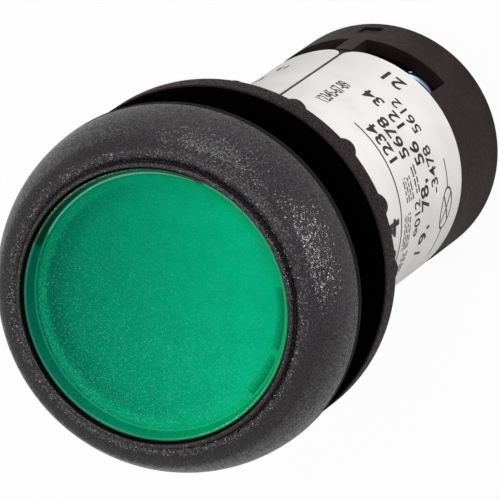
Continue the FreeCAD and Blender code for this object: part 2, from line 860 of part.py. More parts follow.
def make_terminal(label, x_side, y_side, top, has_tab):
    """A bent strip that carries a clamp plate, and a tab at its top where it holds a contact."""
    body = new_body(label)
    middle = "(strip_near + strip_far) / 2"
    profile = new_sketch(body, "XZ_Plane", middle if y_side else f"-{middle}")
    foot = [
        ("strip_inside", "-plate_rear + outer_bend", "outer_bend"),
        ("strip_inside + outer_bend", "-plate_rear"),
        ("screw_x", "-plate_rear"),
        ("screw_x", "-plate_front"),
        ("plate_start", "-plate_front", "-bend_radius"),
        ("strip_outside", "-plate_front + bend_radius"),
    ]
    plain_head = [("strip_outside", f"-({top})"), ("strip_inside", f"-({top})")]
    tab_head = [
        ("strip_outside", f"-({top}) - outer_bend", "-bend_radius"),
        ("plate_start", f"-({top}) - plate_thickness"),
        ("tab_end", f"-({top}) - plate_thickness"),
        ("tab_end", f"-({top})"),
        ("strip_inside + outer_bend", f"-({top})", "outer_bend"),
        ("strip_inside", f"-({top}) - outer_bend"),
    ]
    outline(profile, mirrored(foot + (tab_head if has_tab else plain_head), x_side))
    pad(body, profile, "strip_far - strip_near", both_ways=True)
    plate = new_sketch(body, "XY_Plane", "-plate_rear")
    near = ("sqrt(plate_outside^2 - plate_near^2)", "plate_near", "plate_outside")
    far = ("sqrt(plate_outside^2 - plate_far^2)", "plate_far")
    corners = [("plate_start", "plate_near"), near, far, ("plate_start", "plate_far")]
    outline(plate, mirrored(corners, x_side, y_side))
    pad(body, plate, "plate_thickness")
    hole = new_sketch(body, "XY_Plane", "-plate_front")
    circle(hole, "washer_bore", f"{x_side}screw_x", f"{y_side}screw_y")
    pocket(body, hole, "plate_thickness")


def make_terminals():
    lead_top = "board_front - lead_stand"
    make_terminal("contact_terminal_a", "", "", "tab_front", True)
    make_terminal("contact_terminal_b", "", "-", "tab_front", True)
    make_terminal("lamp_terminal_a", "-", "", lead_top, False)
    make_terminal("lamp_terminal_b", "-", "-", lead_top, False)


def make_terminal_screw(index, x, y):
    """A slotted screw with a chamfered head, and the washer that is captive under it."""
    screw = turned(
        f"terminal_screw_{index}",
        [
            ("0", "-screw_tip"),
            ("0", "-head_rear"),
            ("head_radius - head_chamfer", "-head_rear"),
            ("head_radius", "-head_rear + head_chamfer"),
            ("head_radius", "-head_front"),
            ("screw_radius", "-head_front"),
            ("screw_radius", "-screw_tip - screw_point"),
            ("screw_radius - screw_point", "-screw_tip"),
        ],
    )
    slot = new_sketch(screw, "XY_Plane", "-head_rear")
    across = ("-head_radius - overcut", "head_radius + overcut")
    outline(slot, rectangle(across, ("-slot_width / 2", "slot_width / 2")))
    pocket(screw, slot, "slot_depth", forward=True)
    washer = turned(
        f"clamp_washer_{index}",
        [
            ("washer_bore", "-washer_front"),
            ("washer_bore", "-head_front"),
            ("washer_radius", "-head_front"),
            ("washer_radius", "-washer_front - washer_chamfer"),
            ("washer_radius - washer_chamfer", "-washer_front"),
        ],
    )
    for piece in (screw, washer):
        place(piece, x, y)


def make_terminal_screws():
    for index, (x_side, y_side) in enumerate(QUARTERS, 1):
        make_terminal_screw(index, f"{x_side}screw_x", f"{y_side}screw_y")


def make_lamp():
    """A round board with a notch for the leg, a diode with a domed tip, and a resistor beside it."""
    board = new_body("led_board")
    disc = new_sketch(board, "XY_Plane", "-board_rear")
    circle(disc, "board_radius")
    pad(board, disc, "board_thickness")
    slots = new_sketch(board, "XY_Plane", "-board_front")
    across = ("strip_inside - running_gap", "strip_outside + running_gap")
    slot = rectangle(across, ("strip_near - running_gap", "strip_far + running_gap"))
    for side in ("", "-"):
        outline(slots, mirrored(slot, "-", side))
    outline(slots, rectangle(("pillar_radius", "board_radius + overcut"), ("-strip_near", "strip_near")))
    pocket(board, slots, "board_thickness")
    turned(
        "led_lamp",
        [
            ("0", "-board_front"),
            ("led_radius + led_rim", "-board_front"),
            ("led_radius + led_rim", "-board_front + led_rim_height"),
            ("led_radius", "-board_front + led_rim_height"),
            ("led_radius", "-board_front + led_height", "led_radius"),
            ("0", "-board_front + led_height + led_radius"),
        ],
    )
    resistor = document.addObject("Part::Cylinder", "resistor_barrel")
    resistor.setExpression("Radius", formula("resistor_radius"))
    resistor.setExpression("Height", formula("resistor_length"))
    resistor.Placement.Rotation = FreeCAD.Rotation(FreeCAD.Vector(1, 0, 0), 90)
    place(resistor, "resistor_x", "resistor_length / 2", "-board_front + resistor_radius")
    node(resistor, "resistor")


def make_rear_cover():
    """A disc with a hole over each screw, held by two arms whose hooks snap into the notches."""
    body = turned(
        "rear_cover",
        [
            ("0", "-cover_front"),
            ("0", "-cover_rear"),
            ("core_radius - cover_chamfer", "-cover_rear"),
            ("core_radius", "-cover_rear + cover_chamfer"),
            ("core_radius", "-cover_front"),
        ],
    )
    hook = new_sketch(body, "XZ_Plane")
    outline(
        hook,
        [
            ("arm_inside", "-hook_rear"),
            ("hook_reach", "-hook_rear"),
            ("hook_reach", "-hook_front - hook_ramp"),
            ("plate_outside", "-hook_front"),
            ("plate_outside", "-arm_front"),
            ("arm_inside", "-arm_front"),
        ],
    )
    arm = pad(body, hook, "hook_width", both_ways=True)
    ring_of(body, arm, "body_sides")
    holes = new_sketch(body, "XY_Plane", "-cover_front")
    for x_side, y_side in QUARTERS:
        circle(holes, "driver_hole", f"{x_side}screw_x", f"{y_side}screw_y")
    pocket(body, holes, "cover_thickness")


def check_and_write():
    """Stops on any failed object, then writes one file for each node."""
    document.recompute()
    for item in document.Objects:
        if "Invalid" in item.State or "Error" in item.State:
            raise RuntimeError(f"{item.Name} failed: {item.State}")
    os.makedirs("parts", exist_ok=True)
    for piece in nodes:
        shape = piece.Shape
        if shape.isNull() or not shape.isValid() or shape.Volume <= 0:
            raise RuntimeError(f"{piece.Label} has no valid solid")
        shape.exportStep(f"parts/{piece.Label}.step")
        print(f"{piece.Label:22s} volume {shape.Volume:9.2f} solids {len(shape.Solids)}")


make_front_ring()
make_panel_gasket()
make_threaded_collar()
make_plunger_seal()
make_locking_nut()
make_button_lens()
make_diffuser()
make_plunger()
make_contact_carrier()
make_contact_bridge()
make_contact_tips()
make_springs()
make_body_housing()
make_label_sleeve()
make_terminal_block()
make_terminals()
make_terminal_screws()
make_lamp()
make_rear_cover()
check_and_write()
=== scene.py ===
import math
import random

import bmesh
import bpy
import numpy as np
from mathutils import Matrix, Vector


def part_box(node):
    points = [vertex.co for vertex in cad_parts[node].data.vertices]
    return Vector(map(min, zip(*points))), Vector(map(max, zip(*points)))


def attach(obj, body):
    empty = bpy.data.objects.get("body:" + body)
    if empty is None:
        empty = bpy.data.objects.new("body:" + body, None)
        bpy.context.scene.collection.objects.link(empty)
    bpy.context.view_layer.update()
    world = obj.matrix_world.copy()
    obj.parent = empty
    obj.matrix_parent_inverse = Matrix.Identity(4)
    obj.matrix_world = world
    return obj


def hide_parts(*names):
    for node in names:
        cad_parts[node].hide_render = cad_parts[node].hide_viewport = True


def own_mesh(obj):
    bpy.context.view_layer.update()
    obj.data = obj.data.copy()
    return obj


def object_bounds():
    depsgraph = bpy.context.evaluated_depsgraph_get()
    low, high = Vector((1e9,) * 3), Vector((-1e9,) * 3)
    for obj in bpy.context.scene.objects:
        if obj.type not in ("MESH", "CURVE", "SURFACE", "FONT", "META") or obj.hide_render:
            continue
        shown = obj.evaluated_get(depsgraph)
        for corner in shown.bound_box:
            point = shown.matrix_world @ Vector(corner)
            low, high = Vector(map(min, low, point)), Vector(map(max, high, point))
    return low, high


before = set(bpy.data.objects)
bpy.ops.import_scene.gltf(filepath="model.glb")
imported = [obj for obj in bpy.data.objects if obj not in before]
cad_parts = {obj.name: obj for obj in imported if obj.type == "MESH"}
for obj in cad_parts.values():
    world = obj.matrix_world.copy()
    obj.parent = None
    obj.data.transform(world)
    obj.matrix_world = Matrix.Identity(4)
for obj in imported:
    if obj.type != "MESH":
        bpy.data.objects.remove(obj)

MM = 0.001
cad_box = [list(corner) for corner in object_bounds()]
random.seed(7)


# Sizes and places of the CAD nodes, in millimetres

def extent(node):
    """A round node's outer radius, and the z of its rear and front ends."""
    low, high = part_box(node)
    return tuple(round(value / MM, 4) for value in (high[0], low[2], high[2]))


def middle(node):
    """The middle of a node's box, across the part's axis."""
    low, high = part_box(node)
    return tuple(round((low[i] + high[i]) / 2 / MM, 4) for i in (0, 1))


# Camera, fitted to the photograph

CAMERA_TURN = -53                  # degrees from the part's +X to the side on which the camera stands
CAMERA_DISTANCE = 757.7663         # millimetres from the part's zero point
CAMERA_LEAN = 0.43044357           # radians from the part's axis
CAMERA_AIM = (0.0069401878, -0.0036518540)     # radians, sideways and up from the part's zero point
CAMERA_ROLL = 2.1927580124         # radians
PHOTO_SIZE = 500                   # pixels
CAMERA_FOCUS = 9652.0914583        # focal length in those pixels
SENSOR = 36


def turned(axis, angle):
    return Matrix.Rotation(angle, 3, axis)


def camera_pose():
    """The camera's place in millimetres and its turn from camera to part."""
    place = Vector((CAMERA_DISTANCE * math.sin(CAMERA_LEAN), 0, CAMERA_DISTANCE * math.cos(CAMERA_LEAN)))
    ahead = -place.normalized()
    right = ahead.cross(Vector((0, 0, 1))).normalized()
    up = right.cross(ahead)
    level = Matrix((right, up, -ahead))
    to_camera = turned("Y", CAMERA_AIM[0]) @ turned("X", CAMERA_AIM[1]) @ turned("Z", CAMERA_ROLL) @ level
    spin = turned("Z", math.radians(CAMERA_TURN))
    return spin @ place, spin @ to_camera.transposed()


camera_place, camera_turn = camera_pose()
camera_data = bpy.data.cameras.new("camera")
camera_data.sensor_width = SENSOR
camera_data.lens = CAMERA_FOCUS / PHOTO_SIZE * SENSOR
camera_data.clip_start = 0.05
camera_data.clip_end = 20
camera = bpy.data.objects.new("camera", camera_data)
bpy.context.scene.collection.objects.link(camera)
camera.matrix_world = Matrix.Translation(camera_place * MM) @ camera_turn.to_4x4()
bpy.context.scene.camera = camera


# Colours and shader nodes

def linear(red, green, blue):
    """A screen colour of three bytes as the shader's linear colour."""
    def one(value):
        value /= 255
        return value / 12.92 if value <= 0.04045 else ((value + 0.055) / 1.055) ** 2.4
    return one(red), one(green), one(blue), 1.0


class Nodes:
    """A material's node tree with short ways to add and join nodes."""

    def __init__(self, name):
        self.material = bpy.data.materials.new(name)
        self.material.use_nodes = True
        self.tree = self.material.node_tree
        self.shader = self.tree.nodes["Principled BSDF"]
        self.place = self.add("ShaderNodeTexCoord").outputs["Object"]

    def add(self, kind, **values):
        """A new node, with its settings by name."""
        node = self.tree.nodes.new(kind)
        for key, value in values.items():
            setattr(node, key, value)
        return node

    def join(self, source, target):
        self.tree.links.new(source, target)

    def noise(self, size_mm, detail=3.0, stretch=(1, 1, 1)):
        """Noise with features of about that size."""
        mapping = self.add("ShaderNodeMapping")
        mapping.inputs["Scale"].default_value = stretch
        self.join(self.place, mapping.inputs["Vector"])
        noise = self.add("ShaderNodeTexNoise")
        noise.inputs["Scale"].default_value = 1 / (size_mm * MM)
        noise.inputs["Detail"].default_value = detail
        self.join(mapping.outputs[0], noise.inputs["Vector"])
        return noise.outputs["Fac"]

    def spread(self, source, low, high, start=0.3, end=0.7):
        """Maps a value's middle range onto low to high."""
        node = self.add("ShaderNodeMapRange")
        for key, value in (("From Min", start), ("From Max", end), ("To Min", low), ("To Max", high)):
            node.inputs[key].default_value = value
        self.join(source, node.inputs["Value"])
        return node.outputs["Result"]

    def mix(self, factor, first, second):
        """Mixes two colours, or outputs of colour, by a value."""
        node = self.add("ShaderNodeMix", data_type="RGBA")
        self.join(factor, node.inputs["Factor"])
        for key, value in (("A", first), ("B", second)):
            socket = next(s for s in node.inputs if s.name == key and s.type == "RGBA")
            if isinstance(value, tuple):
                socket.default_value = value
            else:
                self.join(value, socket)
        return next(s for s in node.outputs if s.type == "RGBA")

    def ramp(self, source, stops):
        """Colours by a value, from (value, colour) stops in rising order."""
        first, last = stops[0][0], stops[-1][0]
        node = self.add("ShaderNodeValToRGB")
        self.join(self.spread(source, 0, 1, first, last), node.inputs["Fac"])
        elements = node.color_ramp.elements
        while len(elements) < len(stops):
            elements.new(0.5)
        for element, (value, colour) in zip(elements, stops):
            element.position = (value - first) / (last - first)
            element.color = colour
        return node.outputs["Color"]

    def along(self, direction):
        """How far a point lies along a direction of the part, in metres."""
        node = self.add("ShaderNodeVectorMath", operation="DOT_PRODUCT")
        self.join(self.place, node.inputs[0])
        node.inputs[1].default_value = direction
        return node.outputs["Value"]

    def radius(self):
        """The distance from the part's axis, in metres."""
        flat = self.add("ShaderNodeVectorMath", operation="MULTIPLY")
        self.join(self.place, flat.inputs[0])
        flat.inputs[1].default_value = (1, 1, 0)
        node = self.add("ShaderNodeVectorMath", operation="LENGTH")
        self.join(flat.outputs[0], node.inputs[0])
        return node.outputs["Value"]

    def times(self, first, second):
        """The product of two values."""
        node = self.add("ShaderNodeMath", operation="MULTIPLY")
        self.join(first, node.inputs[0])
        self.join(second, node.inputs[1])
        return node.outputs[0]

    def cells(self, size_mm):
        """A Voronoi texture with cells of that size."""
        node = self.add("ShaderNodeTexVoronoi")
        node.inputs["Scale"].default_value = 1 / (size_mm * MM)
        self.join(self.place, node.inputs["Vector"])
        return node

    def dots(self, size_mm, rarity):
        """Small round specks of uneven brightness; a higher rarity leaves fewer."""
        cells = self.cells(size_mm)
        shape = self.spread(cells.outputs["Distance"], 1, 0, 0.2, 0.5)
        return self.times(shape, self.spread(cells.outputs["Color"], 0, 1, rarity, rarity + 0.3))

    def facets(self, size_mm, tilt):
        """Normals tilted at random from grain to grain, so that the grain glints near a lamp's reflection."""
        centred = self.add("ShaderNodeVectorMath", operation="SUBTRACT")
        self.join(self.cells(size_mm).outputs["Color"], centred.inputs[0])
        centred.inputs[1].default_value = (0.5, 0.5, 0.5)
        lean = self.add("ShaderNodeVectorMath", operation="SCALE")
        self.join(centred.outputs[0], lean.inputs[0])
        lean.inputs["Scale"].default_value = tilt
        total = self.add("ShaderNodeVectorMath", operation="ADD")
        self.join(self.add("ShaderNodeNewGeometry").outputs["Normal"], total.inputs[0])
        self.join(lean.outputs[0], total.inputs[1])
        unit = self.add("ShaderNodeVectorMath", operation="NORMALIZE")
        self.join(total.outputs[0], unit.inputs[0])
        return unit.outputs[0]

    def bump(self, height, depth_mm, strength, under=None):
        """Normals from a height, laid over the normals of another node."""
        node = self.add("ShaderNodeBump")
        node.inputs["Strength"].default_value = strength
        node.inputs["Distance"].default_value = depth_mm * MM
        self.join(height, node.inputs["Height"])
        if under:
            self.join(under, node.inputs["Normal"])
        return node.outputs["Normal"]

    def set(self, **values):
        """Sets the shader's own sockets, with _ for each space of their names."""
        for key, value in values.items():
            self.shader.inputs[key.replace("_", " ")].default_value = value


def grained(name, dark, light, roughness, grain_mm, depth_mm, strength,
            blotch_mm=3.0, speck=None, rarity=0.5, edge_mm=0, facet_tilt=0, **settings):
    """Moulded or painted stuff: a soft blotchy colour, a fine grain in height and gloss, and pale specks,
    partly the grain's own colour and partly painted glints.

    The edges are softened where edge_mm is given, or the grain glints where facet_tilt is.
    """
    nodes = Nodes(name)
    colour = nodes.mix(nodes.spread(nodes.noise(blotch_mm, 4), 0, 1), dark, light)
    if speck:
        colour = nodes.mix(nodes.dots(grain_mm, rarity), colour, speck)
    nodes.join(colour, nodes.shader.inputs["Base Color"])
    gloss = nodes.spread(nodes.noise(grain_mm * 2, 3), *roughness)
    nodes.join(gloss, nodes.shader.inputs["Roughness"])
    edge = nodes.facets(grain_mm, facet_tilt) if facet_tilt else None
    if edge_mm:
        soft = nodes.add("ShaderNodeBevel", samples=4)
        soft.inputs["Radius"].default_value = edge_mm * MM
        edge = soft.outputs[0]
    fine = nodes.bump(nodes.noise(grain_mm, 3), depth_mm, strength, under=edge)
    broad = nodes.bump(nodes.noise(grain_mm * 6, 2), depth_mm * 2, strength * 0.4, under=fine)
    nodes.join(broad, nodes.shader.inputs["Normal"])
    nodes.set(**settings)
    return nodes.material


def metal(name, dark, light, roughness=(0.25, 0.45), grain_mm=0.15, stretch=(1, 1, 1)):
    """Plated or bare metal: brushed or rolled lines, dull patches and a little tarnish."""
    nodes = Nodes(name)
    patches = nodes.spread(nodes.noise(1.1, 5), 0, 1, 0.25, 0.75)
    nodes.join(nodes.mix(patches, dark, light), nodes.shader.inputs["Base Color"])
    lines = nodes.noise(grain_mm, 4, stretch)
    nodes.join(nodes.spread(lines, *roughness), nodes.shader.inputs["Roughness"])
    nodes.join(nodes.bump(lines, 0.004, 0.6), nodes.shader.inputs["Normal"])
    nodes.set(Metallic=1.0)
    return nodes.material


# Materials

# The ring's pale specks are partly its grain and partly painted glints, spread evenly through its colour
black = grained(
    "ring_black", linear(10, 7, 10), linear(20, 15, 19), roughness=(0.2, 0.31), grain_mm=0.095, depth_mm=0.01,
    strength=0.5, speck=linear(84, 74, 82), rarity=0.45, facet_tilt=0.46, Specular_IOR_Level=0.35)
# painted shade: a darker, duller copy of the ring's black for the shaded inner wall of the lip and the seat
ring_inside_shade = grained(
    "ring_inside_shade", linear(9, 9, 10), linear(15, 14, 15), roughness=(0.6, 0.8), grain_mm=0.13, depth_mm=0.02,
    strength=0.6, Specular_IOR_Level=0.06)
nut_black = grained(
    "nut_black", linear(14, 7, 9), linear(24, 14, 17), roughness=(0.42, 0.6), grain_mm=0.11, depth_mm=0.012,
    strength=0.5, speck=linear(62, 44, 47), facet_tilt=0.6, Specular_IOR_Level=0.08)
# painted shade: a near-black copy of the nut's plastic for its front face, which lies in the ring's shadow
nut_face_shade = grained(
    "nut_face_shade", linear(2, 1, 2), linear(5, 3, 4), roughness=(0.6, 0.8), grain_mm=0.12, depth_mm=0.03,
    strength=0.8, Specular_IOR_Level=0.01)
body_black = grained(
    "body_black", linear(23, 13, 14), linear(36, 23, 25), roughness=(0.45, 0.6), grain_mm=0.14,
    depth_mm=0.014, strength=0.5, edge_mm=0.14, Specular_IOR_Level=0.1)
neck_black = grained(
    "neck_black", linear(14, 12, 12), linear(24, 21, 21), roughness=(0.4, 0.6), grain_mm=0.12, depth_mm=0.01,
    strength=0.4, Specular_IOR_Level=0.15)
rubber = grained(
    "rubber", linear(14, 14, 15), linear(24, 23, 24), roughness=(0.65, 0.85), grain_mm=0.1, depth_mm=0.012,
    strength=0.5, Specular_IOR_Level=0.15)
inner_grey = grained(
    "inner_grey", linear(48, 48, 50), linear(66, 66, 68), roughness=(0.4, 0.6), grain_mm=0.12, depth_mm=0.01,
    strength=0.4)
block_dark = grained(
    "block_dark", linear(12, 8, 8), linear(20, 14, 15), roughness=(0.5, 0.7), grain_mm=0.14, depth_mm=0.012,
    strength=0.5, edge_mm=0.1, Specular_IOR_Level=0.06)
opal = grained(
    "opal", linear(216, 222, 216), linear(236, 240, 236), roughness=(0.4, 0.55), grain_mm=0.2, depth_mm=0.006,
    strength=0.3)
paper = grained(
    "label_film", linear(208, 205, 204), linear(219, 216, 215), roughness=(0.45, 0.6), grain_mm=0.1,
    depth_mm=0.003, strength=0.25, blotch_mm=4.0, Specular_IOR_Level=0.2)
ink = grained(
    "label_ink", linear(16, 13, 15), linear(36, 30, 33), roughness=(0.4, 0.6), grain_mm=0.06, depth_mm=0.002,
    strength=0.3, blotch_mm=0.3, Specular_IOR_Level=0.2)
board_green = grained(
    "board_green", linear(20, 66, 40), linear(32, 92, 56), roughness=(0.3, 0.45), grain_mm=0.2,
    depth_mm=0.006, strength=0.4)
led_clear = grained(
    "led_clear", linear(206, 214, 206), linear(230, 236, 230), roughness=(0.1, 0.2), grain_mm=0.3,
    depth_mm=0.002, strength=0.2)
enamel = grained(
    "resistor_enamel", linear(176, 146, 104), linear(200, 172, 130), roughness=(0.3, 0.45), grain_mm=0.15,
    depth_mm=0.01, strength=0.4)
brass = metal("brass", linear(176, 134, 66), linear(214, 178, 104), stretch=(1, 6, 6))
zinc = metal("zinc", linear(76, 98, 118), linear(132, 154, 172), roughness=(0.3, 0.5), grain_mm=0.1)
steel = metal("steel", linear(140, 142, 146), linear(196, 198, 202), roughness=(0.2, 0.35), grain_mm=0.08)
screw_steel = metal(
    "screw_steel", linear(84, 88, 94), linear(128, 132, 138), roughness=(0.35, 0.5), grain_mm=0.1)
silver = metal("silver", linear(196, 194, 188), linear(232, 230, 224), roughness=(0.2, 0.4), grain_mm=0.1)


# Lens materials, with the light that comes through the lens painted into their colour

# painted light: each lens colour is lighter on this side, where light comes through, and darker on the other
LIT_SIDE = (0.035, -1.0, 0.0)      # the side from which light comes through the lens
LIT_SPAN = (-9.0, 6.5)             # where that light begins and is full, along that side
# the frost's pale specks are painted glints, strongest on this side
FROST_GLINT_SIDE = (-0.87, 0.5, 0.0)     # the side where the lens's frost shows most
FROST_GLINT_SPAN = (-5.0, 8.0)
RIM_FADE = (9.45, 10.35)           # radii between which a shade by the rim fades in
END_FADE = (-0.25, 0.05)           # how the shade fades at its ends, past the end and inside it
# painted shade where the snap tabs behind the rim hold back the light that comes through the lens
TAB_SHADE_GREEN = linear(0, 126, 70)    # the snap tabs behind the rim, seen through it as darker places
TABS = [(angle, half, TAB_SHADE_GREEN) for angle, half in ((265.8, 2.4), (237.4, 1.7))]
NEAR_SIDE = (5.0, 6.0)             # how far from the axis a shade's own side begins
# the angle of the rim's painted dark band of shade and of its pale foot line, a painted glint
SHADE_AND_GLINT_SIDE = 22                     # the angle at which the rim has its dark band and its pale foot line
# half lengths of the painted band of shade and of the painted glint on the foot line
SHADE_BAND_HALF, FOOT_GLINT_HALF = 7.5, 6.5


def even(*colour):
    """Stops of one colour at every radius."""
    return [(radius, linear(*colour)) for radius in (0, 11)]


def by_rim(nodes, turn, half_mm):
    """1 along a stretch of the lens's rim where a painted shade or highlight goes, centred at an angle in
    degrees; it fades inwards to 0.
    """
    angle = math.radians(turn)
    across = nodes.along((-math.sin(angle), math.cos(angle), 0))
    past, inside = (shift * MM for shift in END_FADE)
    half = half_mm * MM
    ends = nodes.times(nodes.spread(across, 0, 1, past - half, inside - half),
                       nodes.spread(across, 1, 0, half - inside, half - past))
    outward = nodes.along((math.cos(angle), math.sin(angle), 0))
    near = nodes.spread(outward, 0, 1, *(reach * MM for reach in NEAR_SIDE))
    fade = nodes.spread(nodes.radius(), 0, 1, *(radius * MM for radius in RIM_FADE))
    return nodes.times(nodes.times(ends, near), fade)


def lens_material(name, lit, dull, roughness, depth_mm, frost=0.0, shades=TABS, **settings):
    """Green plastic with painted light: brighter on the side that light comes through, with a fine frost.

    The lit and the dull stops are (radius, colour) stops of painted light and shade, and shades are painted
    shade or highlight by the rim: angle, half length and colour.
    """
    nodes = Nodes(name)
    radius = nodes.radius()
    # painted light: the share of the lit colour, by the side of the lens
    side = nodes.spread(nodes.along(LIT_SIDE), 0, 1, *(reach * MM for reach in LIT_SPAN))
    both = (nodes.ramp(radius, [(r * MM, colour) for r, colour in stops]) for stops in (dull, lit))
    colour = nodes.mix(side, *both)
    # painted shade and painted highlight at places by the rim
    for turn, half_mm, shade in shades:
        colour = nodes.mix(by_rim(nodes, turn, half_mm), colour, shade)
    cloud = nodes.spread(nodes.noise(1.6, 4), 0, 0.14, 0.35, 0.7)
    colour = nodes.mix(cloud, colour, linear(0, 110, 76))
    # frost: pale specks painted in as glints, mostly on one side of the lens
    if frost:
        shown = nodes.spread(nodes.along(FROST_GLINT_SIDE), 0.3, 1, *(reach * MM for reach in FROST_GLINT_SPAN))
        specks = nodes.times(nodes.dots(0.1, 0.5), shown)
        colour = nodes.mix(nodes.spread(specks, 0, frost, 0, 1), colour, linear(110, 228, 190))
    nodes.join(colour, nodes.shader.inputs["Base Color"])
    nodes.join(nodes.spread(nodes.noise(0.4, 3), *roughness), nodes.shader.inputs["Roughness"])
    nodes.join(nodes.bump(nodes.noise(0.13, 3), depth_mm, 0.7), nodes.shader.inputs["Normal"])
    nodes.set(**settings)
    return nodes.material


# The face: painted light, brighter on the lit side; on the dull side a painted darker band of shade in the
# dish and a painted highlight on the ramp round it
lens_face = lens_material(
    "lens_face",
    [(0, linear(0, 201, 148)), (8.5, linear(0, 201, 148)), (9.4, linear(0, 200, 144)),
     (9.9, linear(0, 194, 134)), (10.4, linear(0, 184, 118))],
    [(0, linear(0, 140, 102)), (7.4, linear(0, 138, 101)), (8.6, linear(0, 122, 91)),
     (9.2, linear(0, 115, 86)), (9.42, linear(0, 124, 93)), (9.68, linear(0, 156, 112)),
     (10.08, linear(0, 154, 110)), (10.26, linear(0, 124, 90)), (10.4, linear(0, 122, 90))],
    roughness=(0.5, 0.65), depth_mm=0.02, frost=0.7, Specular_IOR_Level=0.02)
# The foot line: painted light, lit and dull, and a pale painted glint along one stretch of the rim
lens_line = lens_material(
    "lens_line", even(0, 190, 132), even(0, 160, 120), roughness=(0.25, 0.35), depth_mm=0.012,
    shades=[(SHADE_AND_GLINT_SIDE, FOOT_GLINT_HALF, linear(104, 224, 192))], Specular_IOR_Level=0.15)
# The slope inside the rim: painted light and shade, with a painted dark band of shade along one stretch
lens_slope = lens_material(
    "lens_slope",
    [(0, linear(0, 184, 124)), (11, linear(0, 176, 116))],
    [(0, linear(0, 138, 110)), (11, linear(0, 134, 108))],
    roughness=(0.2, 0.3), depth_mm=0.004, frost=0.25, shades=[(SHADE_AND_GLINT_SIDE, SHADE_BAND_HALF, linear(0, 62, 30))],
    Specular_IOR_Level=0.08)
# The rim's narrow top: painted light and shade, with the same painted dark band of shade
lens_top = lens_material(
    "lens_top", even(0, 176, 116), even(0, 116, 92), roughness=(0.1, 0.2), depth_mm=0.02,
    shades=[(SHADE_AND_GLINT_SIDE, SHADE_BAND_HALF, linear(0, 76, 38))], Specular_IOR_Level=0.35)
# The outer wall and underside: painted light and shade, a lit and a dull copy of one dark green
lens_edge = lens_material(
    "lens_edge", even(0, 118, 52), even(0, 44, 22), roughness=(0.15, 0.3), depth_mm=0.004,
    Specular_IOR_Level=0.15)


# Mesh making, in millimetres

def make_object(name, points, faces, material, angle=35):
    """A mesh piece from points in millimetres, smooth except at edges sharper than the angle."""
    mesh = bpy.data.meshes.new(name)
    mesh.from_pydata([tuple(float(c) * MM for c in p) for p in points], [], faces)
    mesh.validate()
    work = bmesh.new()
    work.from_mesh(mesh)
    bmesh.ops.remove_doubles(work, verts=work.verts, dist=1e-7)
    bmesh.ops.recalc_face_normals(work, faces=work.faces)
    work.to_mesh(mesh)
    work.free()
    mesh.polygons.foreach_set("use_smooth", [True] * len(mesh.polygons))
    mesh.set_sharp_from_angle(angle=math.radians(angle))
    mesh.materials.append(material)
    piece = bpy.data.objects.new(name, mesh)
    bpy.context.scene.collection.objects.link(piece)
    return piece


def arc(centre, radius, start, end, count):
    """Points along an arc between two angles in degrees."""
    angles = np.radians(np.linspace(start, end, count))
    return [(centre[0] + radius * math.cos(a), centre[1] + radius * math.sin(a)) for a in angles]


ROUND_STEPS = 5


def softened(corners, closed=True):
    """An outline whose corners are rounded: (x, y, rounding) for each, the rounding left out where sharp."""
    points = []
    count = len(corners)
    for i, corner in enumerate(corners):
        here = Vector(corner[:2])
        rounding = corner[2] if len(corner) > 2 else 0
        if not rounding or (not closed and i in (0, count - 1)):
            points.append(tuple(here))
            continue
        before = Vector(corners[i - 1][:2]) - here
        after = Vector(corners[(i + 1) % count][:2]) - here
        reach = min(rounding, before.length * 0.49, after.length * 0.49)
        first, last = here + before.normalized() * reach, here + after.normalized() * reach
        for k in range(ROUND_STEPS + 1):
            t = k / ROUND_STEPS
            points.append(tuple(first * (1 - t) ** 2 + here * 2 * t * (1 - t) + last * t ** 2))
    return points


def row_at(angles, radius, z):
    """A ring of points round the axis."""
    return [(radius * math.cos(a), radius * math.sin(a), z) for a in angles]


def rings(name, rows, material, closed=True, angle=35):
    """A mesh through rows of points, each row a ring round the axis."""
    count = len(rows[0])
    points = [p for row in rows for p in row]
    faces = []
    for i in range(len(rows) if closed else len(rows) - 1):
        j = (i + 1) % len(rows)
        for k in range(count):
            m = (k + 1) % count
            faces.append((i * count + k, i * count + m, j * count + m, j * count + k))
    return make_object(name, points, faces, material, angle)


def lathe(name, profile, material, closed=True, count=256):
    """A profile of (radius, z) turned round the axis."""
    turns = np.linspace(0, 2 * math.pi, count, endpoint=False)
    return rings(name, [row_at(turns, r, z) for r, z in profile], material, closed)


def add_material(piece, material, where):
    """Gives the faces whose centre's radius and height pass the test another material."""
    piece.data.materials.append(material)
    slot = len(piece.data.materials) - 1
    for face in piece.data.polygons:
        x, y, z = face.center / MM
        if where(math.hypot(x, y), z):
            face.material_index = slot


def paint(node, material):
    """Gives a carried-over node its material."""
    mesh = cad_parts[node].data
    mesh.materials.clear()
    mesh.materials.append(material)


# Front ring: a domed black ring with a thin raised lip round the lens

RING_OUT, _, LIP_TOP = extent("front_ring")
LIP_IN, LIP_OUT, DOME_IN = 11.15, 11.5, 11.7
RING_TOP, VALLEY = 6.45, 6.2
PANEL = 0.0                                # z of the panel's front face
CROWN, BROW = 2.0, 1.2                     # radii of the crown and of the brow between it and the valley
FLANK_START, BROW_START, BROW_END = 0.9, 62, 112       # degrees along their arcs
SEAT_OUT, SEAT_TOP = 12.05, 0.75           # the seat of the collar's flange
GROOVE_IN, GROOVE_OUT, GROOVE_TOP = 12.55, 13.95, 1.0      # the gasket's groove


